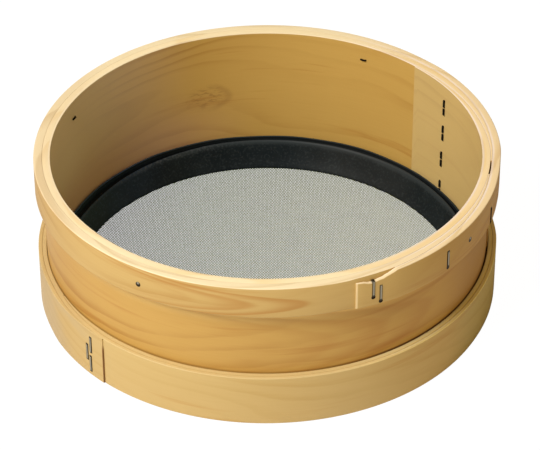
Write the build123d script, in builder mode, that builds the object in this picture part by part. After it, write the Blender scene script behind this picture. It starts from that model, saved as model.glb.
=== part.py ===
from build123d import *
from math import atan2, ceil, cos, degrees, hypot, radians, sin
import os

# A round bentwood drum sieve, rim up. The origin is the middle of the face that it stands on,
# +Z is up, and angles run from +X towards +Y. Every hoop is one thin board, steamed, wound round
# the drum and lapped over its own start, so its radius is worked out turn by turn.

# Whole drum
drum_height = 94.0
bore_radius = 124.1
glue_line = 0.1
plan_turn = 12.0
angle_digits = 3
thin_ease = 0.3
band_ease = 0.6
full_turn = 360.0
overrun = 10.0

# Side hoop, wound clockwise from its inside end
side_wall = 4.6
side_start = 44.0
side_lap_turn = 50.0
side_skive_turn = 44.0
side_inside_tip = 0.5
side_outside_tip = 0.6
side_floor_gap = 0.1

# Rim band, wound clockwise round the top of the side hoop
band_wall = 4.9
band_height = 20.0
band_start = -12.0
band_lap_turn = 57.0
band_inside_turn = 46.0
band_outside_turn = 50.0
band_inside_tip = 0.75
band_outside_tip = 0.8
band_skive_power = 0.6

# Low top edge of the band's outside end, as shares of its turn and of its drop
tongue_turn = 10.6
tongue_drop = 4.3
tongue_top_shares = ((0.0, 0.0), (0.2, 0.4), (0.4, 0.75), (0.67, 1.0), (0.86, 0.7), (1.0, 0.67))

# Sieve cloth, drawn over the foot of the side hoop and turned up round it
cloth_thickness = 0.4
cloth_ground_gap = 1.1
cloth_rise = 24.0
cloth_pitch = 20.0
cloth_bar = 1.8
cloth_margin = 2.5
cloth_turn = 45.0

# Lower hoop, wound twice anticlockwise over the turned-up cloth
lower_ply = 2.2
lower_height = 32.0
lower_end = -133.5
lower_skive_turn = 20.0
lower_tip = 0.4
lower_ramp_turn = 6.0
bridge_turn = 20.0

# Corner seal between the side hoop and the cloth
seal_height = 18.1
seal_wall_gap = 0.1
seal_reach = 11.1
seal_edge = 1.0
seal_shoulder_height = 13.6
seal_shoulder_width = 2.0
lip_thickness = 1.0
lip_lean = 0.7
groove_width = 1.2
groove_depth = 1.9
groove_foot = 0.5

# Flat-wire staples
wire_width = 1.4
wire_thickness = 0.7
staple_crown = 11.0
staple_bend = 0.35
staple_leg = 6.3
clinch_length = 4.6
crown_proud = 0.3
hole_play = 0.05

# Bent-over wire pins
pin_diameter = 1.1
pin_sides = 8
pin_head = 2.2
pin_head_thickness = 0.5
pin_bend = 0.5
pin_tip = 3.4
pin_proud = 0.1

# Places of the fastenings, each an angle and a share of the hoop's height
side_staple_shares = ((31.0, 0.835), (31.1, 0.636), (31.4, 0.428), (31.6, 0.197))
rim_staple_shares = ((-64.8, 0.56), (-62.9, 0.37), (-42.7, 0.43), (-20.7, 0.31))
lower_staple_shares = ((-137.9, 0.68), (-139.3, 0.48), (-138.1, 0.255))
pin_shares = ((-121.7, 0.46), (-33.6, 0.5), (60.8, 0.5), (155.7, 0.42))

# Levels worked out from the sizes above
cloth_top = cloth_ground_gap + cloth_thickness
side_floor = cloth_top + side_floor_gap
side_height = drum_height - side_floor
band_floor = drum_height - band_height
side_end = side_start - side_lap_turn
band_end = band_start - band_lap_turn
side_total = full_turn + side_lap_turn
band_total = full_turn + band_lap_turn
lower_start = lower_end - lower_skive_turn

# Angles, and angles turned along each strip, at which an outline bends
side_bends = (side_start, side_end + side_skive_turn, side_start - side_skive_turn, side_end)
side_corners = (side_skive_turn, full_turn, side_total - side_skive_turn, full_turn + side_skive_turn)
band_lap_corners = (full_turn, full_turn + band_lap_turn - band_outside_turn, full_turn + band_inside_turn)
seated_corners = [(band_start - bend) % full_turn for bend in side_bends]
band_corners = (band_inside_turn, *band_lap_corners, *seated_corners)
seat_turns = [(bend - lower_start) % full_turn for bend in (*side_bends, side_end - bridge_turn)]
first_turn_corners = [lower_skive_turn, full_turn - lower_ramp_turn, full_turn, *seat_turns]
lower_corners = [*first_turn_corners, *[full_turn + corner for corner in first_turn_corners]]


def polar(radius, angle):
    """Point in plan at a radius and an angle."""
    return (radius * cos(radians(angle)), radius * sin(radians(angle)))


def arc_ends(total, corners):
    """Angles from 0 to a total that part the arcs of an outline, with one at each of its corners."""
    kept = sorted({round(corner, angle_digits) for corner in (0, total, *corners) if 0 <= corner <= total})
    ends = [0]
    for first, last in zip(kept, kept[1:]):
        count = ceil((last - first) / plan_turn)
        ends = ends + [first + (last - first) * step / count for step in range(1, count + 1)]
    return ends


def arcs(radius, start, way, total, corners):
    """Chain of arcs in plan, through a radius that changes with the angle turned."""
    ends = arc_ends(total, corners)
    for first, last in zip(ends, ends[1:]):
        between = (first, (first + last) / 2, last)
        ThreePointArc(*[polar(radius(turn), start + way * turn) for turn in between])


def skived(turned, tip, wall, length, power=1):
    """Thickness of a strip at an angle from its thinned end."""
    return tip + (wall - tip) * min(turned / length, 1) ** power


# Radii of the side hoop
def side_thickness(turn):
    """Wall of the side hoop, thinned at both ends."""
    start = skived(turn, side_inside_tip, side_wall, side_skive_turn)
    end = skived(side_total - turn, side_outside_tip, side_wall, side_skive_turn)
    return min(start, end)


def side_inside(turn):
    """Inner radius of the side hoop, which climbs on to its own start after one turn."""
    if turn < full_turn:
        return bore_radius + (side_inside_tip + glue_line) * turn / full_turn
    below = turn - full_turn
    return side_inside(below) + side_thickness(below) + glue_line


def side_outside(angle):
    """Outer radius of the side hoop's outermost layer."""
    turn = (side_start - angle) % full_turn
    if turn <= side_lap_turn:
        turn = turn + full_turn
    return side_inside(turn) + side_thickness(turn)


def side_seat(angle):
    """Radius that a stiff wrap lies on, with the hollow past the outside end bridged."""
    past = (side_end - angle) % full_turn
    bridged = max(1 - past / bridge_turn, 0) if past > 0 else 0
    return side_outside(angle) + (side_outside_tip + glue_line) * bridged


# Radii of the rim band
def band_thickness(turn):
    """Wall of the rim band, thinned at both ends."""
    start = skived(turn, band_inside_tip, band_wall, band_inside_turn)
    end = skived(band_total - turn, band_outside_tip, band_wall, band_outside_turn, band_skive_power)
    return min(start, end)


def band_inside(turn):
    """Inner radius of the rim band, which climbs on to its own start after one turn."""
    if turn >= full_turn:
        below = turn - full_turn
        return band_inside(below) + band_thickness(below) + glue_line
    hollow = side_end - band_start
    left = full_turn - turn
    if left < hollow:
        before = side_outside(side_end) + glue_line
        after = band_inside(full_turn)
        return after + (before - after) * left / hollow
    return side_outside(band_start - turn) + glue_line


def band_outside(angle):
    """Outer radius of the rim band's outermost layer."""
    turn = (band_start - angle) % full_turn
    if turn <= band_lap_turn:
        turn = turn + full_turn
    return band_inside(turn) + band_thickness(turn)


# Radii of the turned-up cloth and the lower hoop
def cloth_inside(angle):
    """Inner radius of the cloth's turned-up edge."""
    return side_seat(angle) + glue_line


def cloth_outside(angle):
    """Outer radius of the cloth's turned-up edge."""
    return cloth_inside(angle) + cloth_thickness


def lower_thickness(turn):
    """Wall of the lower hoop's strip, thinned at both ends."""
    left = 2 * full_turn + lower_skive_turn - turn
    start = skived(turn, lower_tip, lower_ply, lower_skive_turn)
    end = skived(left, lower_tip, lower_ply, lower_skive_turn)
    return min(start, end)


def lower_inside(turn):
    """Inner radius of the lower hoop's strip over its two turns."""
    if turn >= full_turn:
        below = turn - full_turn
        return lower_inside(below) + lower_thickness(below) + glue_line
    climb = max(1 - (full_turn - turn) / lower_ramp_turn, 0)
    return cloth_outside(lower_start + turn) + glue_line + (lower_tip + glue_line) * climb


def lower_outside(angle):
    """Outer radius of the lower hoop's outermost layer."""
    turn = (angle - lower_start) % full_turn + full_turn
    if turn <= full_turn + lower_skive_turn:
        turn = turn + full_turn
    return lower_inside(turn) + lower_thickness(turn)


def upright(angle, height):
    """Plane through the drum's axis, with its X axis outwards and its Y axis up."""
    outwards = (cos(radians(angle)), sin(radians(angle)), 0)
    across = (sin(radians(angle)), -cos(radians(angle)), 0)
    return Plane(origin=(0, 0, height), x_dir=outwards, z_dir=across)


def facing(angle, radius, height):
    """Plane that faces outwards at a point on a hoop, with its X axis level."""
    outwards = (cos(radians(angle)), sin(radians(angle)), 0)
    level = (-sin(radians(angle)), cos(radians(angle)), 0)
    return Plane(origin=(*polar(radius, angle), height), x_dir=level, z_dir=outwards)


def wound(start, way, total, inside, thickness, corners):
    """Plan of a strip wound round the drum, with an end face at each thinned end."""
    with BuildSketch() as plan:
        with BuildLine():
            arcs(inside, start, way, total, corners)
            arcs(lambda turn: inside(turn) + thickness(turn), start, way, total, corners)
            for turn in (0, round(total, angle_digits)):
                foot = polar(inside(turn), start + way * turn)
                Line(foot, polar(inside(turn) + thickness(turn), start + way * turn))
        make_face()
    return plan.sketch


def closed(radius):
    """Plan inside a closed loop whose radius changes with the angle."""
    with BuildSketch() as plan:
        with BuildLine():
            arcs(lambda turn: radius(lower_start + turn), lower_start, 1, full_turn, seat_turns)
        make_face()
    return plan.sketch


def ease(part, outline, level, size):
    """Chamfer along one level of a hoop, where its edges follow an outline."""
    found = []
    for edge in part.edges().filter_by(GeomType.CIRCLE):
        middle = edge @ 0.5
        off = hypot(middle.X, middle.Y) - outline(degrees(atan2(middle.Y, middle.X)))
        if abs(off) < glue_line / 2 and abs(middle.Z - level) < glue_line / 2:
            found.append(edge)
    chamfer(found, length=size)


def staple(angle, height, crown, legs, clinch=0.0, play=0.0):
    """One flat-wire staple with an upright crown, or the hole for it when there is play."""
    half = (staple_crown - wire_thickness) / 2
    back = crown - wire_thickness / 2
    path = [(legs, half), (back - staple_bend, half), (back, half - staple_bend)]
    if clinch > 0:
        path = [(legs, half - clinch), (legs, half - staple_bend), (legs + staple_bend, half), *path[1:]]
    with BuildSketch(upright(angle, height)) as outline:
        with BuildLine():
            Polyline(*path, *[(out, -up) for out, up in reversed(path)])
        trace(line_width=wire_thickness + 2 * play)
    mode = Mode.SUBTRACT if play > 0 else Mode.ADD
    extrude(outline.sketch, amount=wire_width / 2 + play, both=True, mode=mode)


def side_staples(play=0.0, past=0.0):
    """Staples through the side hoop's lap, clinched on the inside, or the holes for them."""
    for angle, share in side_staple_shares:
        height = side_floor + share * side_height
        inside = side_inside(side_start - angle) - wire_thickness / 2 - 2 * hole_play
        staple(angle, height, side_outside(angle), inside - past, clinch_length, play)


def rim_staples(play=0.0):
    """Staples through the rim band's lap, or the holes for them."""
    for angle, share in rim_staple_shares:
        crown = band_outside(angle) + crown_proud
        staple(angle, band_floor + share * band_height, crown, crown - staple_leg - play, play=play)


def lower_staples(play=0.0):
    """Staples through the lower hoop's outside end, or the holes for them."""
    for angle, share in lower_staple_shares:
        crown = lower_outside(angle) + crown_proud
        staple(angle, share * lower_height, crown, crown - staple_leg - play, play=play)


def pin_holes():
    """Round holes and head seats for the pins, cut from the part being built."""
    for angle, share in pin_shares:
        head = band_outside(angle) + pin_proud
        with BuildSketch(facing(angle, head, band_floor + share * band_height)) as seat:
            Circle(pin_head / 2 + hole_play)
        extrude(seat.sketch, amount=-pin_head_thickness - hole_play, mode=Mode.SUBTRACT)
        with BuildSketch(facing(angle, head, band_floor + share * band_height)) as bore:
            RegularPolygon(pin_diameter / 2 + 2 * hole_play, pin_sides)
        extrude(bore.sketch, amount=bore_radius - overrun - head, mode=Mode.SUBTRACT)


# Side hoop, one board with its ends thinned and lapped
with BuildPart() as side_hoop:
    with BuildSketch(Plane.XY.offset(side_floor)):
        add(wound(side_start, -1, side_total, side_inside, side_thickness, side_corners))
    extrude(amount=side_height)
    ease(side_hoop, lambda angle: side_inside((side_start - angle) % full_turn), drum_height, thin_ease)
    side_staples(hole_play, overrun)
    rim_staples(hole_play)
    lower_staples(hole_play)
    pin_holes()

# Staples of the side hoop's lap
with BuildPart() as side_hoop_staples:
    side_staples()

# Cutter for the tongue's low top edge, outside the layer that the tongue lies on
with BuildPart() as tongue_cutter:
    with BuildSketch(Plane.XY.offset(drum_height - tongue_drop - overrun)):
        with BuildLine():
            ends = [band_total - tongue_turn * (1 - share) for share, drop in tongue_top_shares]
            under = Spline(*[polar(band_inside(turn) - glue_line / 2, band_start - turn) for turn in ends])
            away = band_outside(band_end) + overrun
            beyond = Line(polar(away, band_end + tongue_turn), polar(away, band_end))
            Line(under @ 0, beyond @ 0)
            Line(under @ 1, beyond @ 1)
        make_face()
    extrude(amount=tongue_drop + 2 * overrun)
    with BuildSketch(facing(band_end, 0, drum_height)):
        with BuildLine():
            aways = [polar(away, tongue_turn * (1 - share))[1] for share, drop in tongue_top_shares]
            drops = [-tongue_drop * drop for share, drop in tongue_top_shares]
            low = Spline(*zip(aways, drops))
            end = Line(low @ 1, (-overrun, drops[-1]))
            Polyline(end @ 1, (-overrun, overrun), ((low @ 0).X, overrun), low @ 0)
        make_face()
    extrude(amount=away + overrun, mode=Mode.INTERSECT)

# Rim band, one board lapped over its own start and ending in the tongue
with BuildPart() as rim_band:
    with BuildSketch(Plane.XY.offset(band_floor)):
        add(wound(band_start, -1, band_total, band_inside, band_thickness, band_corners))
    extrude(amount=band_height)
    ease(rim_band, band_outside, drum_height, band_ease)
    ease(rim_band, band_outside, band_floor, band_ease)
    add(tongue_cutter.part, mode=Mode.SUBTRACT)
    rim_staples(hole_play)
    pin_holes()

# Staples of the rim band's lap
with BuildPart() as rim_band_staples:
    rim_staples()

# Pins through the rim band and the side hoop, bent over on the inside
with BuildPart() as rim_band_pins:
    for angle, share in pin_shares:
        height = band_floor + share * band_height
        head = band_outside(angle) + pin_proud
        inside = side_inside((side_start - angle) % full_turn) - pin_diameter / 2 - 2 * hole_play
        with BuildLine(Plane(origin=(0, 0, height), x_dir=(*polar(1, angle), 0), z_dir=(0, 0, 1))) as shank:
            Polyline((head - hole_play, 0), (inside + pin_bend, 0), (inside, pin_bend), (inside, pin_tip))
        with BuildSketch(facing(angle, head - hole_play, height)):
            RegularPolygon(pin_diameter / 2, pin_sides)
        sweep(path=shank.line, transition=Transition.RIGHT)
        with BuildSketch(facing(angle, head, height)):
            Circle(pin_head / 2)
        extrude(amount=-pin_head_thickness)

# Sieve cloth, a square net held under the foot of the side hoop
with BuildPart() as sieve_cloth:
    with BuildSketch(Plane.XY.offset(cloth_ground_gap)):
        add(closed(cloth_outside))
        reach = bore_radius - seal_wall_gap - cloth_margin
        count = int(reach / cloth_pitch)
        steps = [cloth_pitch * step for step in range(-count, count + 1)]
        half = (cloth_pitch + cloth_bar) / 2
        places = [(x, y) for x in steps for y in steps if hypot(abs(x) + half, abs(y) + half) < reach]
        with Locations(*[Vector(x, y).rotate(Axis.Z, cloth_turn) for x, y in places]):
            Rectangle(cloth_pitch - cloth_bar, cloth_pitch - cloth_bar, cloth_turn, mode=Mode.SUBTRACT)
    extrude(amount=cloth_thickness)

# Edge of the cloth, turned up between the side hoop and the lower hoop
with BuildPart() as sieve_cloth_turned_edge:
    with BuildSketch(Plane.XY.offset(cloth_top)):
        add(closed(cloth_outside))
        add(closed(cloth_inside), mode=Mode.SUBTRACT)
    extrude(amount=cloth_rise)
    lower_staples(hole_play)

# Lower hoop, one thin board wound twice and lapped over its own start
with BuildPart() as lower_hoop:
    with BuildSketch():
        total = 2 * full_turn + lower_skive_turn
        add(wound(lower_start, 1, total, lower_inside, lower_thickness, lower_corners))
    extrude(amount=lower_height)
    ease(lower_hoop, lower_outside, lower_height, thin_ease)
    lower_staples(hole_play)

# Staples of the lower hoop's outside end
with BuildPart() as lower_hoop_staples:
    lower_staples()

# Corner seal, a rubber ring with a lip against the side hoop and a slope down to the cloth
with BuildPart() as seal_ring:
    with BuildSketch(Plane.XZ):
        with BuildLine():
            outer = bore_radius - seal_wall_gap
            top = cloth_top + seal_height
            shoulder = outer - lip_lean - lip_thickness - groove_width
            ridge = cloth_top + seal_shoulder_height
            lean_foot = top - lip_thickness - groove_width
            lip = Polyline(
                (outer, cloth_top),
                (outer, lean_foot),
                (outer - lip_lean, top),
                (outer - lip_lean - lip_thickness, top),
                (shoulder + groove_width, ridge - groove_depth),
                (shoulder + groove_foot, ridge - groove_depth),
                (shoulder, ridge),
                (shoulder - seal_shoulder_width / 2, ridge),
            )
            slope = SagittaArc(lip @ 1, (outer - seal_reach, cloth_top + seal_edge), seal_shoulder_width / 4)
            Polyline(slope @ 1, (outer - seal_reach, cloth_top), lip @ 0)
        make_face()
    revolve(axis=Axis.Z)
    side_staples(hole_play)

os.makedirs("parts", exist_ok=True)

side_hoop.part.label = "side_hoop"
export_step(side_hoop.part, "parts/side_hoop.step")

side_hoop_staples.part.label = "side_hoop_staples"
export_step(side_hoop_staples.part, "parts/side_hoop_staples.step")

rim_band.part.label = "rim_band"
export_step(rim_band.part, "parts/rim_band.step")

rim_band_staples.part.label = "rim_band_staples"
export_step(rim_band_staples.part, "parts/rim_band_staples.step")

rim_band_pins.part.label = "rim_band_pins"
export_step(rim_band_pins.part, "parts/rim_band_pins.step")

sieve_cloth.part.label = "sieve_cloth"
export_step(sieve_cloth.part, "parts/sieve_cloth.step")

sieve_cloth_turned_edge.part.label = "sieve_cloth_turned_edge"
export_step(sieve_cloth_turned_edge.part, "parts/sieve_cloth_turned_edge.step")

lower_hoop.part.label = "lower_hoop"
export_step(lower_hoop.part, "parts/lower_hoop.step")

lower_hoop_staples.part.label = "lower_hoop_staples"
export_step(lower_hoop_staples.part, "parts/lower_hoop_staples.step")

seal_ring.part.label = "seal_ring"
export_step(seal_ring.part, "parts/seal_ring.step")
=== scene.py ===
from math import atan2, cos, pi, radians, sin
from types import SimpleNamespace

import bmesh
import bpy
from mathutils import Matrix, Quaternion, Vector


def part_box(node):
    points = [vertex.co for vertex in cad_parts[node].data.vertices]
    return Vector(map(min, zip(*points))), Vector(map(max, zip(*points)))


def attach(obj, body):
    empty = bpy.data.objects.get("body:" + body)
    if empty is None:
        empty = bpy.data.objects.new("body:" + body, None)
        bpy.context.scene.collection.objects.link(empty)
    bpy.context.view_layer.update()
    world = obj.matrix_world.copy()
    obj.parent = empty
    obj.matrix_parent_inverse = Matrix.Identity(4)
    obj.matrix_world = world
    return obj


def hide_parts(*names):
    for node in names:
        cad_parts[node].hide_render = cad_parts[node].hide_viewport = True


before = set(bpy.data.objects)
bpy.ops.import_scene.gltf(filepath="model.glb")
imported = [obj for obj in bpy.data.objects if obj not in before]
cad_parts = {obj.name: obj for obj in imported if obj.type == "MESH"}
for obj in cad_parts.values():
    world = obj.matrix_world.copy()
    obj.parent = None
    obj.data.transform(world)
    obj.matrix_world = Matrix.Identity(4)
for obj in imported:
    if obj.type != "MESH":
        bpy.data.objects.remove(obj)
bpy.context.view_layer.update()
bpy.ops.object.select_all(action="DESELECT")

# Side hoop: one steamed softwood board about 4.6 mm thick, with both ends skived thin. It is wound
# once round the drum, clockwise from above, and lapped 50 degrees over its own start, where glue
# and four staples hold it. Its inside end shows as an upright step on the inner wall.
# Board sizes are in mm and turns in degrees. What is multiplied by MM is in metres.
MM = 0.001
DRUM_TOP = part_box("side_hoop")[1].z
SIDE_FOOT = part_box("side_hoop")[0].z
BAND_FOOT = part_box("rim_band")[0].z
LOWER_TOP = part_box("lower_hoop")[1].z
GLUE = 0.1
BORE = 124.1
BORE_GROWTH = 0.6
SIDE_WALL = 4.6
SIDE_START = 44
SIDE_LAP = 50
SIDE_SKIVE = 44
SIDE_FIRST_TIP = 0.5
SIDE_TIP = 0.6
SAME_POINT = 0.01 * MM
BEVEL_STEPS = 5
LENGTH_CUTS = 20
MOST_ROUNDED = 0.45
BOARD_SMOOTH = radians(35)


def skived(turned, tip, wall, length, power=1):
    """Thickness of a board at an angle from its thinned end."""
    return tip + (wall - tip) * max(min(turned / length, 1), 0) ** power


def side_thickness(turn):
    start = skived(turn, SIDE_FIRST_TIP, SIDE_WALL, SIDE_SKIVE)
    return min(start, skived(360 + SIDE_LAP - turn, SIDE_TIP, SIDE_WALL, SIDE_SKIVE))


def side_inside(turn):
    if turn < 360:
        return BORE + BORE_GROWTH * turn / 360
    return side_inside(turn - 360) + side_thickness(turn - 360) + GLUE


def side_outside(angle):
    turn = (SIDE_START - angle) % 360
    turn = turn + 360 if turn <= SIDE_LAP else turn
    return side_inside(turn) + side_thickness(turn)


def upright(turn):
    return 0


def bent_board(
    name, wall, foot, top, start, way, total, inside, thickness, edges, waist=0, lean=upright
):
    """A flat board bent round the drum. Its four long edges are rounded by a size in mm, as far as
    the share of a turn lets them. Above the waist, the first turn's inside leans in. The attribute
    "board" keeps where each point lay on the flat board: along, through and up it, in metres."""
    length, height = radians(total) * BORE * MM, top - foot
    half_wall = wall * MM / 2
    bpy.ops.mesh.primitive_cube_add(size=1, location=(0, 0, 0))
    board = bpy.context.object
    board.name = board.data.name = name
    board.dimensions = (length, wall * MM, height)
    bpy.ops.object.transform_apply(location=False, rotation=False, scale=True)
    bpy.ops.object.mode_set(mode="EDIT")
    bpy.ops.mesh.select_mode(type="EDGE")
    for (side, end), (size, share) in edges.items():
        bpy.ops.mesh.select_all(action="DESELECT")
        edit = bmesh.from_edit_mesh(board.data)
        for edge in edit.edges:
            far = [
                abs(v.co.y - side * half_wall) + abs(v.co.z - end * height / 2) for v in edge.verts
            ]
            if max(far) < SAME_POINT:
                edge.select_set(True)
        bmesh.update_edit_mesh(board.data)
        bpy.ops.mesh.bevel(
            offset=size * MM, offset_type="OFFSET", segments=BEVEL_STEPS, affect="EDGES"
        )
    bpy.ops.mesh.select_all(action="DESELECT")
    edit = bmesh.from_edit_mesh(board.data)
    for edge in edit.edges:
        inner = all(v.co.y < SAME_POINT - half_wall for v in edge.verts)
        if inner and edge.calc_length() < 2 * height:
            edge.select_set(True)
    bmesh.update_edit_mesh(board.data)
    bpy.ops.mesh.subdivide(number_cuts=1)
    for _ in range(2):
        bpy.ops.mesh.select_all(action="DESELECT")
        edit = bmesh.from_edit_mesh(board.data)
        for edge in edit.edges:
            if abs(edge.verts[0].co.x - edge.verts[1].co.x) > MM:
                edge.select_set(True)
        bmesh.update_edit_mesh(board.data)
        bpy.ops.mesh.subdivide(number_cuts=LENGTH_CUTS)
    bpy.ops.object.mode_set(mode="OBJECT")
    flat = board.data.attributes.new("board", "FLOAT_VECTOR", "POINT")
    for vertex, kept in zip(board.data.vertices, flat.data):
        along, out, up = vertex.co
        kept.vector = (along, out + half_wall, up + height / 2)
        turn = (along / length + 0.5) * total
        if abs(up) < SAME_POINT:
            radius, level = inside(turn) * MM, foot + waist
            kept.vector[2] = waist
        else:
            side, end = (1 if out > 0 else -1), (1 if up > 0 else -1)
            size, share = edges[side, end]
            eased = min(share(turn), MOST_ROUNDED * thickness(turn) / size)
            radius = inside(turn) * MM - side * (half_wall - side * out) * eased
            level = (top if end > 0 else foot) - end * (height / 2 - end * up) * eased
            if side > 0:
                radius += thickness(turn) * MM
            elif end > 0 and turn < 360:
                radius -= lean(turn)
        angle = radians(start + way * turn)
        vertex.co = (radius * cos(angle), radius * sin(angle), level)
    bpy.ops.object.mode_set(mode="EDIT")
    bpy.ops.mesh.select_all(action="SELECT")
    bpy.ops.mesh.normals_make_consistent(inside=False)
    bpy.ops.object.mode_set(mode="OBJECT")
    bpy.ops.object.shade_smooth_by_angle(angle=BOARD_SMOOTH)
    board.select_set(False)
    return board


def whole(turn):
    return 1


class Socket:
    """A socket of a material's nodes. Arithmetic on sockets adds the Math nodes that do it."""

    def __init__(self, tree, link):
        self.tree, self.link = tree, link

    def node(self, kind, inputs, out=0, **settings):
        """A new node's output. Inputs are sockets or values, by name or by number."""
        made = self.tree.nodes.new(kind)
        for name, value in settings.items():
            setattr(made, name, value)
        for name, value in inputs.items():
            if isinstance(value, Socket):
                self.tree.links.new(value.link, made.inputs[name])
            else:
                made.inputs[name].default_value = value
        return Socket(self.tree, made.outputs[out])

    def maths(self, operation, *values):
        return self.node("ShaderNodeMath", dict(enumerate(values)), operation=operation)

    def __add__(self, other):
        return self.maths("ADD", self, other)

    def __radd__(self, other):
        return self.maths("ADD", other, self)

    def __sub__(self, other):
        return self.maths("SUBTRACT", self, other)

    def __rsub__(self, other):
        return self.maths("SUBTRACT", other, self)

    def __mul__(self, other):
        return self.maths("MULTIPLY", self, other)

    def __pow__(self, other):
        return self.maths("POWER", self, other)

    def steps(self, low, high):
        """0 below low, 1 above high, and smooth between them."""
        inputs = {0: self, 1: low, 2: high, 3: 0.0, 4: 1.0}
        return self.node("ShaderNodeMapRange", inputs, interpolation_type="SMOOTHSTEP")

    def noise(self, scale, detail=2.0, rough=0.5):
        """Noise on this vector, about 0.5."""
        inputs = {"Vector": self, "Scale": scale, "Detail": detail, "Roughness": rough}
        return self.node("ShaderNodeTexNoise", inputs)

    def stretched(self, x, y, z, offset=(0, 0, 0)):
        """This vector multiplied by a number in each direction, and moved."""
        grown = self.node("ShaderNodeVectorMath", {0: self, 1: (x, y, z)}, operation="MULTIPLY")
        return self.node("ShaderNodeVectorMath", {0: grown, 1: offset}, operation="ADD")

    def parts(self):
        """This vector's three numbers."""
        made = self.node("ShaderNodeSeparateXYZ", {0: self}).link.node
        return [Socket(self.tree, output) for output in made.outputs]

    def blend(self, first, second):
        """A mix of two colours by this mask."""
        return self.node("ShaderNodeMix", {0: self, 6: first, 7: second}, out=2, data_type="RGBA")

    def glaze(self, colour, tint):
        """A colour multiplied by a tint as far as this mask goes."""
        inputs = {0: self, 6: colour, 7: tint}
        return self.node("ShaderNodeMix", inputs, out=2, data_type="RGBA", blend_type="MULTIPLY")


def material(name, slot_colour):
    """An empty Principled material, with the socket that its nodes start from."""
    made = bpy.data.materials.new(name)
    made.use_nodes = True
    made.diffuse_color = slot_colour
    shader = made.node_tree.nodes["Principled BSDF"]
    return made, shader, Socket(made.node_tree, shader.outputs[0])


def plug(shader, name, socket):
    """Joins a socket to one of the shader's inputs."""
    socket.tree.links.new(socket.link, shader.inputs[name])


def arches(along, up, tip, reach, rows, waver):
    """Growth lines nested in one another as arches on their side, which open along the board."""
    x = (along - tip[0]) * (1 / reach[0])
    y = (up - tip[1]) * (1 / reach[1])
    depth = x - y * y + (waver - 0.5) * 0.22
    line = (depth * rows).maths("FRACT", depth * rows)
    edge = line.steps(0.0, 0.3) * (1 - line.steps(0.3, 1.0))
    return edge * depth.steps(0.0, 0.1) * (1 - depth.steps(0.25, 1.0))


FASTENER_SHADE = (0.022, 0.012, 0.005, 1)
RIGHT_SHADE_TINT = (0.98, 0.91, 0.66, 1)
LEFT_SHADE_TINT = (0.93, 0.90, 0.88, 1)


def outside_of(through):
    """1 on a board's outside face and 0 on its inside."""
    return through.steps(0.8 * MM, 1.6 * MM)


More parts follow.
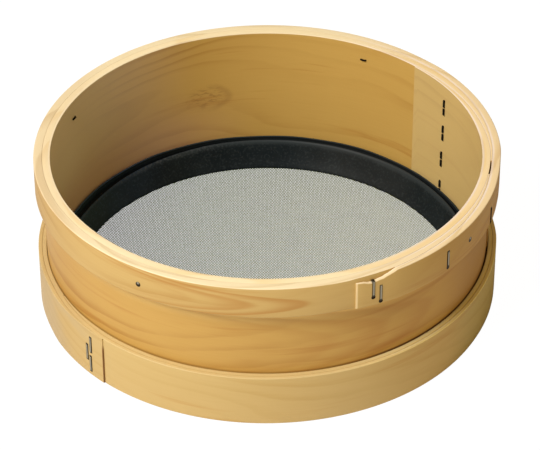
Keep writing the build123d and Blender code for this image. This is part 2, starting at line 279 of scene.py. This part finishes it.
def bentwood(name, look, height, details):
    """Pale softwood, read on the flat board: soft clouds, faint growth lines, a few red streaks.
    The top edge is paler, partly the cut edge's own colour and partly painted light from above, and
    its colour changes from left to right as painted light. Left and right have painted shade tints,
    the far right limb is darkened as painted shade, and the painted shade that the details give
    round fastenings is nearly black."""
    light, dark = look.light, look.dark
    made, shader, start = material(name, light)
    flat = start.node("ShaderNodeAttribute", {}, out="Vector", attribute_name="board")
    along, through, up = flat.parts()
    x, y, z = start.node("ShaderNodeTexCoord", {}, out="Object").parts()
    placed = flat.stretched(1, 1, 1, look.offset)
    waver = placed.stretched(11, 60, 45).noise(1.0, 3.0, 0.6)
    sway = placed.stretched(3.2, 6, 7).noise(1.0, 2.0, 0.45)
    drift = placed.stretched(2.1, 3, 3, (7, 3, 1)).noise(1.0, 1.5, 0.4)
    side = up - 0.05 + (sway - 0.5) * 0.13
    deep = through + 0.030 + (drift - 0.5) * 0.06
    ring = (side * side + deep * deep) ** 0.5 * 150 + (waver - 0.5) * 1.1
    wave = ring.maths("FRACT", ring)
    late = wave.steps(0.45, 0.9) * (1 - wave.steps(0.9, 1.0))
    cloud = placed.stretched(6, 20, 15, (2, 5, 9)).noise(1.0, 3.0, 0.5)
    patch = cloud.steps(0.42, 0.66)
    fibre = placed.stretched(40, 900, 1100).noise(1.0, 4.0, 0.65)
    streak = placed.stretched(5, 90, 75, (4, 1, 3)).noise(1.0, 3.0, 0.55).steps(0.60, 0.78)
    tone = (cloud - 0.5) * 0.7 + late * look.figure * (0.25 + patch * 0.9) + (fibre - 0.5) * 0.28
    body = tone.steps(-0.35, 0.95).blend(light, dark)
    red = tuple(a * b for a, b in zip(dark, (1.0, 0.82, 0.62, 1)))
    body = (streak * patch * 0.75).blend(body, red)
    vein = placed.stretched(8, 60, 170, (8, 2, 6)).noise(1.0, 3.0, 0.6).steps(0.56, 0.70)
    body = (vein * 0.40).blend(body, red)
    at = SimpleNamespace(flat=flat, along=along, through=through, up=up, x=x, y=y, z=z)
    body, fastener_shade = details(body, at, waver, red)
    top = up.steps(height - 0.7 * MM, height - 0.1 * MM)
    right = x.steps(0.03, 0.11)
    # Paler top edge: partly the cut edge's own colour, partly painted light from above; its change
    # from left to right is painted light too.
    body = (top * (0.85 - late * 0.25)).blend(body, right.blend(look.edge, look.right_edge))
    parting = top * (1 - through.steps(0.15 * MM, 0.5 * MM))
    body = (parting * look.parting).blend(body, dark)
    outer = outside_of(through)
    # Painted shade: a warmer, less blue tint on the shaded right side.
    body = (right * outer).glaze(body, RIGHT_SHADE_TINT)
    # Painted shade: the far right limb darkened where it turns away from the light.
    body = (x.steps(look.dusk_from, 0.120) * outer * (1 - top)).glaze(body, look.dusk)
    # Painted shade: the far left outside and top toned down.
    left = 1 - x.steps(-0.130, -0.090)
    body = (left * (outer + top)).glaze(body, LEFT_SHADE_TINT)
    # Painted shade round staples and pins, nearly black.
    if fastener_shade:
        fastener_shade = (fastener_shade * 1.3).steps(0, 1)
        body = fastener_shade.blend(body, FASTENER_SHADE)
        plug(shader, "Metallic", fastener_shade)
    plug(shader, "Base Color", body)
    plug(shader, "Roughness", 0.46 + fibre * 0.12)
    relief = fibre * 0.6 + late * 0.4
    bump = relief.node("ShaderNodeBump", {"Strength": 0.08, "Distance": 0.3 * MM, "Height": relief})
    plug(shader, "Normal", bump)
    shader.inputs["Specular IOR Level"].default_value = 0.35
    shader.inputs["Coat Weight"].default_value = 0.08
    shader.inputs["Coat Roughness"].default_value = 0.35
    return made


def wear(piece, name, look, height, node, details):
    """Dresses a bent board and lets it stand for its CAD node."""
    piece.data.materials.clear()
    piece.data.materials.append(bentwood(name, look, height, details))
    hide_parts(node)
    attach(piece, "root")


def seen_from(at, angle, level):
    """How far across and up the drum's wall lies from a point of it, and 1 on that side."""
    a = radians(angle)
    across = at.y * cos(a) - at.x * sin(a)
    height = at.z - level
    return across, height, (at.x * cos(a) + at.y * sin(a)).steps(0.09, 0.10)


def mark(at, angle, level, half_width, half_height):
    """An upright mark round a point of the drum's wall, with soft edges, all in metres."""
    across, height, near = seen_from(at, angle, level)
    side = across.maths("ABSOLUTE", across).steps(half_width - 0.2 * MM, half_width + 0.2 * MM)
    end = height.maths("ABSOLUTE", height).steps(half_height - 0.3 * MM, half_height + 0.3 * MM)
    return (1 - side) * (1 - end) * near


def dent(at, angle, level, radius):
    """A round mark at a point of the drum's wall."""
    across, height, near = seen_from(at, angle, level)
    far = (across * across + height * height) ** 0.5
    return (1 - far.steps(radius - 0.3 * MM, radius + 0.3 * MM)) * near


def laid(turn, total):
    """Where a turn lies along the flat board, in metres from its middle."""
    return radians(turn - total / 2) * BORE * MM


SPOT_TURN = 296.5
SPOT_UP = 49 * MM
PALE_START = (0.64, 0.47, 0.21, 1)
GREY_STRETCH = (0.90, 0.76, 0.60, 1)
INSIDE_PAINTED_LIGHT = (1.10, 1.12, 1.12, 1)
FLECK_BROWN = (0.33, 0.155, 0.04, 1)
LOW_FLUSH = (0.74, 0.44, 0.33, 1)
UNDER_BAND_PAINTED_LIGHT = (0.90, 0.62, 0.215, 1)
JOINT_SHADE = (0.14, 0.055, 0.012, 1)


def side_details(body, at, waver, red):
    """Inside: a paler start, a grey stretch, a flecked spot at the back, a flush at the low left,
    and painted light over the whole inside face. Outside: painted light below the rim band against
    its shadow, arches at the front, painted shade in the joint over the lower hoop, darkest at the
    right."""
    total = 360 + SIDE_LAP
    inner = 1 - outside_of(at.through)
    start = (1 - at.along.steps(laid(52, total), laid(75, total))) * inner
    body = (start * 0.6).blend(body, PALE_START)
    grey = at.along.steps(laid(165, total), laid(205, total))
    grey = grey * (1 - at.along.steps(laid(241, total), laid(297, total))) * inner
    body = (grey * 0.85).blend(body, GREY_STRETCH)
    # Painted light: the whole inside face lightened.
    body = inner.glaze(body, INSIDE_PAINTED_LIGHT)
    aside, above = at.along - laid(SPOT_TURN, total), at.up - SPOT_UP
    spot = (aside * 62) ** 2 + (above * 95) ** 2 + waver * 1.2
    fleck = at.flat.stretched(170, 60, 700).noise(1.0, 3.0, 0.6).steps(0.50, 0.58)
    far_side = at.along.steps(laid(SPOT_TURN - 1, total), laid(SPOT_TURN + 5, total))
    rim = spot.steps(0.9, 1.35) * (1 - spot.steps(1.35, 1.9)) * far_side
    flecks = ((0.15 + fleck * 0.85) * (1 - spot.steps(0.5, 1.7)) + rim * 0.5) * inner
    body = (flecks * 0.6).blend(body, FLECK_BROWN)
    flush = (1 - at.up.steps(0.018, 0.060)) * (1 - at.x.steps(-0.10, 0.0)) * inner
    body = (flush * 0.6).blend(body, LOW_FLUSH)
    # Painted light below the rim band, lifting the band's shadow.
    under_band_light = at.z.steps(BAND_FOOT - 10 * MM, BAND_FOOT - 1 * MM) * (1 - inner)
    body = (under_band_light * 0.9).blend(body, UNDER_BAND_PAINTED_LIGHT)
    # Painted shade in the joint just above the lower hoop, darkest at the shaded right.
    low = 1 - at.z.steps(LOWER_TOP + 0.6 * MM, LOWER_TOP + 1.6 * MM)
    dark_line = low * (1 - inner) * (0.3 + at.x.steps(0.01, 0.09) * 0.7)
    body = dark_line.blend(body, JOINT_SHADE)
    front = arches(at.along, at.up, (laid(84, total), 0.048), (0.130, 0.030), 4.0, waver)
    return (front * (1 - inner) * 0.3).blend(body, red), 0


def side_top(turn):
    """How far the inside top edge is rounded: fully on the first turn and little on the lap."""
    return 1 if turn < 360 else 0.15


side_board = bent_board(
    "side_hoop_board", SIDE_WALL, SIDE_FOOT, DRUM_TOP,
    SIDE_START, -1, 360 + SIDE_LAP, side_inside, side_thickness,
    {
        (-1, 1): (0.35, side_top), (1, 1): (0.06, whole),
        (-1, -1): (0.3, whole), (1, -1): (0.3, whole),
    },
)
PALE_LIT_EDGE = (0.98, 0.84, 0.58, 1)
CREAM_LIT_EDGE = (0.98, 0.84, 0.74, 1)
side_look = SimpleNamespace(
    offset=(0, 0, 0), light=(0.60, 0.365, 0.095, 1), dark=(0.42, 0.20, 0.035, 1), figure=0.5,
    edge=PALE_LIT_EDGE, right_edge=CREAM_LIT_EDGE, parting=0.0, dusk=(0.78, 0.70, 0.70, 1), dusk_from=0.090,
)
wear(side_board, "side_board_wood", side_look, DRUM_TOP - SIDE_FOOT, "side_hoop", side_details)

# Rim band: a narrower board 4.9 mm thick, glued and pinned round the top of the side hoop. It laps
# 57 degrees over its own start and ends in a thin tongue, whose top edge has worn low.
BAND_WALL = 4.9
BAND_TALL = 20
BAND_START = -12
BAND_LAP = 57
BAND_FIRST_TIP = 0.75
BAND_FIRST_SKIVE = 46
BAND_TIP = 0.8
BAND_SKIVE = 50
BAND_SWELL = 0.6
SIDE_END = SIDE_START - SIDE_LAP
TONGUE_TURN = 10.6
TONGUE_TOP = ((0.0, 0.0), (0.2, 0.4), (0.4, 0.75), (0.67, 1.0), (0.86, 0.7), (1.0, 0.67))
TONGUE_DROP = 4.3


def band_thickness(turn):
    start = skived(turn, BAND_FIRST_TIP, BAND_WALL, BAND_FIRST_SKIVE)
    left = 360 + BAND_LAP - turn
    return min(start, skived(left, BAND_TIP, BAND_WALL, BAND_SKIVE, BAND_SWELL))


def band_inside(turn):
    if turn >= 360:
        return band_inside(turn - 360) + band_thickness(turn - 360) + GLUE
    hollow = SIDE_END - BAND_START
    left = 360 - turn
    if left < hollow:
        before = side_outside(SIDE_END) + GLUE
        after = band_inside(360)
        return after + (before - after) * left / hollow
    return side_outside(BAND_START - turn) + GLUE


def tongue_low(turn):
    """How far the band's top lies below the rim at a turn, as a share of the whole drop."""
    share = (turn - (360 + BAND_LAP - TONGUE_TURN)) / TONGUE_TURN
    if share <= 0:
        return 0
    for (a, low), (b, high) in zip(TONGUE_TOP, TONGUE_TOP[1:]):
        if share <= b:
            eased = (1 - cos(pi * (share - a) / (b - a))) / 2
            return low + (high - low) * eased
    return TONGUE_TOP[-1][1]


def band_uncovered(turn):
    """No rounding where the band's own outside end lies over it."""
    return min(max((turn - BAND_LAP) * 0.7, 0.02), 1)


band_board = bent_board(
    "rim_band_board", BAND_WALL, BAND_FOOT, DRUM_TOP,
    BAND_START, -1, 360 + BAND_LAP, band_inside, band_thickness,
    {
        (1, 1): (0.6, band_uncovered), (1, -1): (0.9, band_uncovered),
        (-1, 1): (0.06, whole), (-1, -1): (0.2, whole),
    },
)
band_length = radians(360 + BAND_LAP) * BORE * MM
for vertex, kept in zip(band_board.data.vertices, band_board.data.attributes["board"].data):
    turn = (kept.vector[0] / band_length + 0.5) * (360 + BAND_LAP)
    raised = min(max((kept.vector[2] / MM - 8) / 10, 0), 1)
    vertex.co.z -= TONGUE_DROP * MM * tongue_low(turn) * raised


RIM_STAPLES = ((-64.8, 0.56), (-62.9, 0.37), (-42.7, 0.43), (-20.7, 0.31))
RIM_PINS = ((-121.7, 0.46), (-33.6, 0.5), (60.8, 0.5), (155.7, 0.42))
HALO_WIDE = 1.05 * MM
HALO_TALL = 5.8 * MM
LIT_CUT_END = (0.95, 0.74, 0.42, 1)


def band_details(body, at, waver, red):
    """Arches at the front, the worn tongue's pale cut end, and painted shade round the fastenings.
    """
    total = 360 + BAND_LAP
    arch = arches(at.along, at.up, (laid(66, total), 0.009), (0.090, 0.011), 3.0, waver)
    body = (arch * 0.65).blend(body, red)
    end = laid(total, total)
    # The tongue's cut end is paler: partly its own colour, partly a painted highlight on its lit
    # edge.
    tip = at.along.steps(end - 1.0 * MM, end - 0.6 * MM)
    body = (tip * 0.8).blend(body, LIT_CUT_END)
    # Painted shade: dark halos beside the staples, dark dents at their lower ends and under the pin
    # heads.
    fastener_shade = 0
    for angle, share in RIM_STAPLES:
        middle = BAND_FOOT + share * BAND_TALL * MM
        depth = 0.3 if angle < -60 else 1
        fastener_shade = fastener_shade + mark(at, angle, middle, HALO_WIDE, HALO_TALL) * depth
        fastener_shade = fastener_shade + dent(at, angle, middle - 5.6 * MM, 1.2 * MM)
    for angle, share in RIM_PINS:
        fastener_shade = fastener_shade + dent(at, angle, BAND_FOOT + (share * BAND_TALL - 0.6) * MM, 1.5 * MM)
    return body, fastener_shade


band_look = SimpleNamespace(
    offset=(1.7, 0.4, 0.9), light=(0.62, 0.42, 0.150, 1), dark=(0.46, 0.25, 0.055, 1), figure=0.35,
    edge=PALE_LIT_EDGE, right_edge=CREAM_LIT_EDGE, parting=0.1, dusk=(0.88, 0.78, 0.56, 1), dusk_from=0.060,
)
wear(band_board, "rim_band_wood", band_look, DRUM_TOP - BAND_FOOT, "rim_band", band_details)

# Lower hoop: a thin board wound twice, the other way, over the turned-up cloth, which it grips
# against the side hoop. Glue and three staples hold its outside end, a dark upright seam.
LOWER_PLY = 2.2
LOWER_END = -133.5
LOWER_SKIVE = 20
LOWER_TIP = 0.4
LOWER_START = LOWER_END - LOWER_SKIVE
LOWER_CLIMB = 6
LOWER_WAIST = 25 * MM
BRIDGE = 20
CLOTH = 0.4
CLOTH_GRIP = 0.32


def seat(angle):
    """Outside of the side hoop, with the step past its outside end bridged."""
    past = (SIDE_END - angle) % 360
    bridged = max(1 - past / BRIDGE, 0) if past > 0 else 0
    return side_outside(angle) + (SIDE_TIP + GLUE) * bridged


def lower_thickness(turn):
    start = skived(turn, LOWER_TIP, LOWER_PLY, LOWER_SKIVE)
    return min(start, skived(720 + LOWER_SKIVE - turn, LOWER_TIP, LOWER_PLY, LOWER_SKIVE))


def climb(turn):
    """How far the first turn has risen on to the board's own start, before the second begins."""
    return (LOWER_TIP + GLUE) * max(1 - (360 - turn) / LOWER_CLIMB, 0)


def lower_inside(turn):
    if turn >= 360:
        return lower_inside(turn - 360) + lower_thickness(turn - 360) + GLUE
    return seat(LOWER_START + turn) + 2 * GLUE + CLOTH + climb(turn)


def lower_lean(turn):
    """Above the cloth's turned-up edge, the board lies closer to the side hoop."""
    return (CLOTH_GRIP + climb(turn)) * MM


def lower_uncovered(turn):
    """No rounding where the second winding lies over the first."""
    return min(max((turn - 360) * 0.5, 0.1), 1)


LOWER_STAPLES = ((-137.9, 0.68), (-139.3, 0.48), (-138.1, 0.255))
HAZE_GREY = (0.50, 0.39, 0.235, 1)
SEAM_BROWN = (0.20, 0.072, 0.009, 1)


def lower_details(body, at, waver, red):
    """Greyer wood at the left, the dark seam at the board's outside end, and painted shade round
    the staples."""
    total = 720 + LOWER_SKIVE
    end, beneath = laid(total, total), laid(total - 360, total)
    ends = at.along.steps(end - 0.7 * MM, end - 0.4 * MM)
    dark_line = at.along.steps(beneath - 0.1 * MM, beneath)
    dark_line = dark_line * (1 - at.along.steps(beneath + 0.4 * MM, beneath + 0.9 * MM))
    haze = at.flat.stretched(25, 60, 60).noise(1.0, 3.0, 0.5).steps(0.35, 0.6)
    haze = haze * (1 - at.x.steps(-0.125, -0.080))
    body = (haze * 0.45).blend(body, HAZE_GREY)
    low = 1 - at.up.steps(0.023, 0.028)
    body = ((ends + dark_line) * low * 0.85).blend(body, SEAM_BROWN)
    # Painted shade beside the staples.
    fastener_shade = 0
    for angle, share in LOWER_STAPLES:
        fastener_shade = fastener_shade + mark(at, angle, share * LOWER_TOP, HALO_WIDE, HALO_TALL)
    return body, fastener_shade


lower_board = bent_board(
    "lower_hoop_board", LOWER_PLY, 0, LOWER_TOP,
    LOWER_START, 1, 720 + LOWER_SKIVE, lower_inside, lower_thickness,
    {
        (1, 1): (0.4, lower_uncovered), (1, -1): (0.5, lower_uncovered),
        (-1, 1): (0.1, whole), (-1, -1): (0.1, whole),
    },
    LOWER_WAIST, lower_lean,
)
lower_look = SimpleNamespace(
    offset=(3.1, 0.8, 1.6), light=(0.63, 0.45, 0.185, 1), dark=(0.50, 0.31, 0.085, 1), figure=0.2,
    edge=(0.66, 0.50, 0.235, 1), right_edge=(0.98, 0.84, 0.46, 1), parting=0.55,
    dusk=(0.88, 0.96, 1.0, 1), dusk_from=0.100,
)
wear(lower_board, "lower_hoop_wood", lower_look, LOWER_TOP, "lower_hoop", lower_details)

# Sieve cloth: stainless wires 0.35 mm thick, crossed square and drawn flat under the foot of the
# side hoop, whose edge holds them. Each wire is one straight length in one of two layers.
CLOTH_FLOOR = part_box("sieve_cloth")[0].z
CLOTH_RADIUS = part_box("sieve_cloth")[1].y - 0.3 * MM
MESH_PITCH = 1.15 * MM
WIRE = 0.35 * MM
WIRE_SIDES = 6
CLOTH_GAP = 0.03 * MM
WEAVE_ANGLE = 45
bpy.ops.mesh.primitive_cylinder_add(
    vertices=WIRE_SIDES, radius=WIRE / 2, depth=1, end_fill_type="NGON"
)
one_wire = bpy.context.object
bpy.ops.object.mode_set(mode="EDIT")
bpy.ops.mesh.select_all(action="SELECT")
bpy.ops.transform.rotate(value=pi / 2, orient_axis="Y", center_override=(0, 0, 0))
bpy.ops.object.mode_set(mode="OBJECT")
profile = [vertex.co.copy() for vertex in one_wire.data.vertices]
faces = [tuple(face.vertices) for face in one_wire.data.polygons]
bpy.data.objects.remove(one_wire)
points, polygons = [], []
rows = int(CLOTH_RADIUS / MESH_PITCH)
for layer in (0, 1):
    level = CLOTH_FLOOR + WIRE / 2 + CLOTH_GAP + layer * WIRE
    for row in range(-rows, rows + 1):
        across = row * MESH_PITCH
        reach = (CLOTH_RADIUS**2 - across**2) ** 0.5
        base = len(points)
        for corner in profile:
            place = Vector((corner.x * 2 * reach, across + corner.y, level + corner.z))
            place.rotate(Quaternion((0, 0, 1), radians(WEAVE_ANGLE + 90 * layer)))
            points.append(place)
        polygons += [tuple(base + index for index in face) for face in faces]
cloth_mesh = bpy.data.meshes.new("sieve_cloth_wires")
cloth_mesh.from_pydata(points, [], polygons)
cloth_wires = bpy.data.objects.new("sieve_cloth_wires", cloth_mesh)
bpy.context.scene.collection.objects.link(cloth_wires)
SHADED_LEFT_WIRE = (0.130, 0.200, 0.005, 1)
LIT_RIGHT_WIRE = (0.330, 0.355, 0.125, 1)
DULL_TINT = (0.72, 0.72, 0.72, 1)


def bare_steel(name, colour, right_colour, roughness):
    """Drawn wire with faint wear and dull patches. Its colour changes from left to right, which on
    the cloth is painted shade, darker at the left.
    """
    made, shader, start = material(name, colour)
    place = start.node("ShaderNodeTexCoord", {}, out="Object")
    dull = place.noise(90.0, 3.0, 0.6)
    fine = place.noise(1400.0, 2.0, 0.5)
    body = place.parts()[0].steps(-0.12, 0.12).blend(colour, right_colour)
    body = (dull.steps(0.35, 0.7) * 0.6 + (fine - 0.5) * 0.3).glaze(body, DULL_TINT)
    plug(shader, "Base Color", body)
    plug(shader, "Roughness", roughness + (dull - 0.5) * 0.2)
    shader.inputs["Metallic"].default_value = 0.8
    return made


# Painted shade: the cloth's wires darker at the left, in the shade of the drum's wall, lighter at
# the right.
cloth_wires.data.materials.append(bare_steel("sieve_wire", SHADED_LEFT_WIRE, LIT_RIGHT_WIRE, 0.45))
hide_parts("sieve_cloth")
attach(cloth_wires, "root")

# Turned-up edge of the cloth: the same wire cloth, folded up between the side hoop and the lower
# hoop. Only its top edge could be seen, and the solid has the right shape.
EDGE_WIRE = (0.55, 0.56, 0.52, 1)
turned_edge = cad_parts["sieve_cloth_turned_edge"]
turned_edge.data.materials.clear()
turned_edge.data.materials.append(bare_steel("turned_edge_wire", EDGE_WIRE, EDGE_WIRE, 0.5))

# Corner seal: a soft black rubber ring pressed between the cloth and the side hoop. A thin lip
# stands against the wall, a groove follows it, and a broad slope runs down to the cloth. The groove
# is widest at the left, and the slope's shoulder stands higher at the back and right.
SEAL_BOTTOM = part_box("seal_ring")[0].z
SEAL_WALL = BORE - 0.1
SEAL_CUTS = 288
SEAL_LEFT = radians(170)
SEAL_RISE = 3.0
SEAL_SECTION = (
    (0.0, 0.0), (0.0, 8.0), (0.0, 14.5), (0.15, 16.2), (0.55, 17.8), (0.75, 18.05),
    (1.15, 18.1), (1.55, 17.9), (1.65, 17.4), (1.6, 15.8), (1.65, 12.4), (1.9, 11.8),
    (2.3, 11.9), (2.55, 12.6), (2.75, 13.3), (3.1, 13.6), (3.7, 13.5), (4.4, 12.8), (5.5, 11.2),
    (7.0, 8.4), (8.5, 5.6), (10.0, 2.9), (10.8, 1.5), (11.05, 0.9), (11.1, 0.0),
)
bpy.ops.mesh.primitive_circle_add(vertices=len(SEAL_SECTION), radius=10 * MM)
seal = bpy.context.object
seal.name = seal.data.name = "seal_ring_rubber"
for vertex, (off, level) in zip(seal.data.vertices, SEAL_SECTION):
    vertex.co = ((SEAL_WALL - off) * MM, 0, SEAL_BOTTOM + level * MM)
bpy.ops.object.mode_set(mode="EDIT")
bpy.ops.mesh.select_all(action="SELECT")
bpy.ops.mesh.spin(steps=SEAL_CUTS, angle=2 * pi, center=(0, 0, 0), axis=(0, 0, 1))
bpy.ops.mesh.select_all(action="SELECT")
bpy.ops.mesh.remove_doubles(threshold=0.02 * MM)
bpy.ops.mesh.normals_make_consistent(inside=False)
bpy.ops.object.mode_set(mode="OBJECT")
for vertex in seal.data.vertices:
    angle = atan2(vertex.co.y, vertex.co.x)
    radius, level = vertex.co.xy.length / MM, (vertex.co.z - SEAL_BOTTOM) / MM
    inward = SEAL_WALL - radius
    leftward = max(cos(angle - SEAL_LEFT), 0)
    if 1.8 < inward < 6 and level > 9:
        wide = 0.45 + 0.9 * leftward**4 + 0.2 * sin(5 * angle + 1) + 0.12 * sin(13 * angle)
        vertex.co.xy *= 1 - wide * (1 - abs(inward - 3) / 3.2) / radius
    if level > 16:
        vertex.co.z += 0.25 * MM * (sin(7 * angle) + sin(17 * angle + 2) - 2) / 2
    elif 5 < level < 15 and inward > 1:
        raised = SEAL_RISE * (1 - leftward**2)
        vertex.co.z += raised * MM * min(max((8 - inward) / 4, 0), 1)
bpy.ops.object.shade_smooth_by_angle(angle=radians(50))
seal.select_set(False)
RUBBER_BLACK = (0.0055, 0.0095, 0.012, 1)
RUBBER_DUST_AND_SHEEN = (0.023, 0.030, 0.033, 1)
RUBBER_COOL_LIGHT = (0.052, 0.112, 0.240, 1)
RUBBER_WARM_LIGHT = (0.050, 0.042, 0.033, 1)
GRIT_GREY = (0.060, 0.066, 0.072, 1)
GROOVE_SHADE = (0.001, 0.0014, 0.0018, 1)


def ring_zone(radius, inner, outer):
    """1 in a zone round the ring. Its two soft borders are given in mm from the wall."""
    rise, fall = [[(SEAL_WALL - off) * MM for off in border] for border in (inner, outer)]
    return radius.steps(*rise) * (1 - radius.steps(*fall))


made, shader, start = material("seal_rubber", (0.02, 0.022, 0.022, 1))
place = start.node("ShaderNodeTexCoord", {}, out="Object")
bloom = place.noise(38.0, 4.0, 0.6)
speck = place.noise(700.0, 3.0, 0.7)
x, y, z = place.parts()
lip = z.steps(SEAL_BOTTOM + 14.5 * MM, SEAL_BOTTOM + 16.5 * MM)
radius = (x * x + y * y) ** 0.5
groove = ring_zone(radius, (3.2, 2.7), (1.7, 1.5))
shoulder = ring_zone(radius, (5.6, 4.6), (3.5, 3.1))
# Dust and sheen: real specks and blooms, with painted highlights on the lip and the shoulder.
dust_and_sheen = bloom.steps(0.35, 0.75) * 0.3 + speck.steps(0.50, 0.66) * 0.7
dust_and_sheen = dust_and_sheen + lip * 0.85 + shoulder * (0.5 + bloom.steps(0.4, 0.6) * 0.6)
rubber = dust_and_sheen.blend(RUBBER_BLACK, RUBBER_DUST_AND_SHEEN)
# Painted light: the ring's left made lighter and cooler.
cool_light = 1 - x.steps(-0.125, -0.055)
rubber = (cool_light * (0.4 + dust_and_sheen * 0.4)).blend(rubber, RUBBER_COOL_LIGHT)
# Painted light: the ring's right made lighter and warmer.
warm_light = x.steps(0.01, 0.05) * (1 - x.steps(0.075, 0.100) * 0.7)
rubber = (warm_light * 0.17).blend(rubber, RUBBER_WARM_LIGHT)
grit = shoulder * speck.steps(0.48, 0.60) * (1 - x.steps(-0.08, 0.0))
rubber = (grit * 0.8).blend(rubber, GRIT_GREY)
# Painted shade: the groove nearly black.
plug(shader, "Base Color", (groove * 0.9).blend(rubber, GROOVE_SHADE))
plug(shader, "Roughness", 0.40 + bloom * 0.2)
bump = speck.node("ShaderNodeBump", {"Strength": 0.25, "Distance": 0.2 * MM, "Height": speck})
plug(shader, "Normal", bump)
shader.inputs["Specular IOR Level"].default_value = 0.15
seal.data.materials.append(made)
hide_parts("seal_ring")
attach(seal, "root")

# Staples and pins: bent steel wire, dulled grey-brown with a painted highlight along the crowns
# and pin heads, and nearly black on the clinched legs inside and, as painted shade, where it turns
# away from the light at the right. They stay as the solids have them.
STAPLE_GREY = (0.07, 0.060, 0.046, 1)
STAPLE_HIGHLIGHT = (0.36, 0.335, 0.27, 1)
STAPLE_BLACK = (0.012, 0.010, 0.008, 1)
HIGHLIGHT_WIDE = 0.45 * MM
staple_steel = bare_steel("staple_steel", STAPLE_GREY, STAPLE_GREY, 0.38)
shader = staple_steel.node_tree.nodes["Principled BSDF"]
drawn = Socket(staple_steel.node_tree, shader.inputs["Base Color"].links[0].from_socket)
x, y, z = drawn.node("ShaderNodeTexCoord", {}, out="Object").parts()
outside = ((x * x + y * y) ** 0.5).steps(0.1255, 0.1265)
at = SimpleNamespace(x=x, y=y, z=z)
# Painted highlight along the staple crowns and on the pin heads.
highlight = 0
for angle, share in RIM_STAPLES[:-1]:
    highlight = highlight + mark(at, angle, BAND_FOOT + (share * BAND_TALL + 0.6) * MM, HIGHLIGHT_WIDE, 4.6 * MM)
for angle, share in LOWER_STAPLES:
    highlight = highlight + mark(at, angle, share * LOWER_TOP, HIGHLIGHT_WIDE, 5.0 * MM)
for angle, share in RIM_PINS:
    highlight = highlight + dent(at, angle, BAND_FOOT + (share * BAND_TALL + 0.3) * MM, 0.6 * MM) * 1.5
drawn = highlight.blend(drawn, STAPLE_HIGHLIGHT)
# Painted shade: staples at the far right nearly black, where they turn away from the light.
outside = outside * (1 - x.steps(0.118, 0.124))
plug(shader, "Base Color", outside.blend(STAPLE_BLACK, drawn))
rough = Socket(staple_steel.node_tree, shader.inputs["Roughness"].links[0].from_socket)
plug(shader, "Roughness", rough + (1 - outside) * 0.5)
for node in ("side_hoop_staples", "rim_band_staples", "rim_band_pins", "lower_hoop_staples"):
    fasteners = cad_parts[node]
    fasteners.data.materials.clear()
    fasteners.data.materials.append(staple_steel)

# Studio: a pale floor and a surround that are white to the camera and warmer to the wood, and one
# soft lamp from the upper front left.
bpy.ops.mesh.primitive_plane_add(size=6, location=(0, 0, -0.2 * MM))
floor = bpy.context.object
floor.name = "studio_floor"
made, shader, start = material("studio_floor_paper", (0.9, 0.9, 0.9, 1))
shader.inputs["Base Color"].default_value = (0.85, 0.85, 0.85, 1)
shader.inputs["Roughness"].default_value = 0.9
rays = start.node("ShaderNodeLightPath", {}, out="Is Camera Ray")
white = start.node("ShaderNodeEmission", {"Color": (1, 1, 1, 1), "Strength": 1.06})
mixed = start.node("ShaderNodeMixShader", {0: rays * 0.93, 1: start, 2: white})
start.tree.links.new(mixed.link, start.tree.nodes["Material Output"].inputs[0])
floor.data.materials.append(made)
floor.select_set(False)

world = bpy.data.worlds.new("studio_surround")
world.use_nodes = True
bpy.context.scene.world = world
tree = world.node_tree
rays = Socket(tree, tree.nodes.new("ShaderNodeLightPath").outputs["Is Camera Ray"])
surround = tree.nodes["Background"]
tree.links.new((rays * 0.66 + 0.34).link, surround.inputs["Strength"])
tree.links.new(rays.blend((1.0, 0.80, 0.42, 1), (1, 1, 1, 1)).link, surround.inputs["Color"])


def soft_lamp(name, place, aim, size, power):
    lamp = bpy.data.lights.new(name, "AREA")
    lamp.shape = "DISK"
    lamp.size = size
    lamp.energy = power
    stand = bpy.data.objects.new(name, lamp)
    bpy.context.scene.collection.objects.link(stand)
    stand.location = place
    stand.rotation_euler = (Vector(aim) - Vector(place)).to_track_quat("-Z", "Y").to_euler()


soft_lamp("main_lamp", (-1.0, -0.95, 1.65), (0, 0, 0.05), 1.0, 44)

# Camera: a long lens that looks down by 36 degrees, fitted to the photo's ellipses of the rim, the
# mesh and the foot. It is rolled by a quarter of a degree.
VIEW_FROM = (0, -1.3372, 1.0106)
VIEW_AT = (0.00189, 0, 0.0394)
VIEW_ROLL = radians(-0.227)
camera = bpy.data.cameras.new("photo_view")
camera.lens = 187.63
camera.sensor_width = 36
camera.clip_end = 20
view = bpy.data.objects.new("photo_view", camera)
bpy.context.scene.collection.objects.link(view)
view.location = VIEW_FROM
sight = (Vector(VIEW_AT) - view.location).to_track_quat("-Z", "Y")
view.rotation_mode = "QUATERNION"
view.rotation_quaternion = sight @ Quaternion((0, 0, 1), VIEW_ROLL)
bpy.context.scene.camera = view

bpy.context.scene.view_settings.view_transform = "Standard"
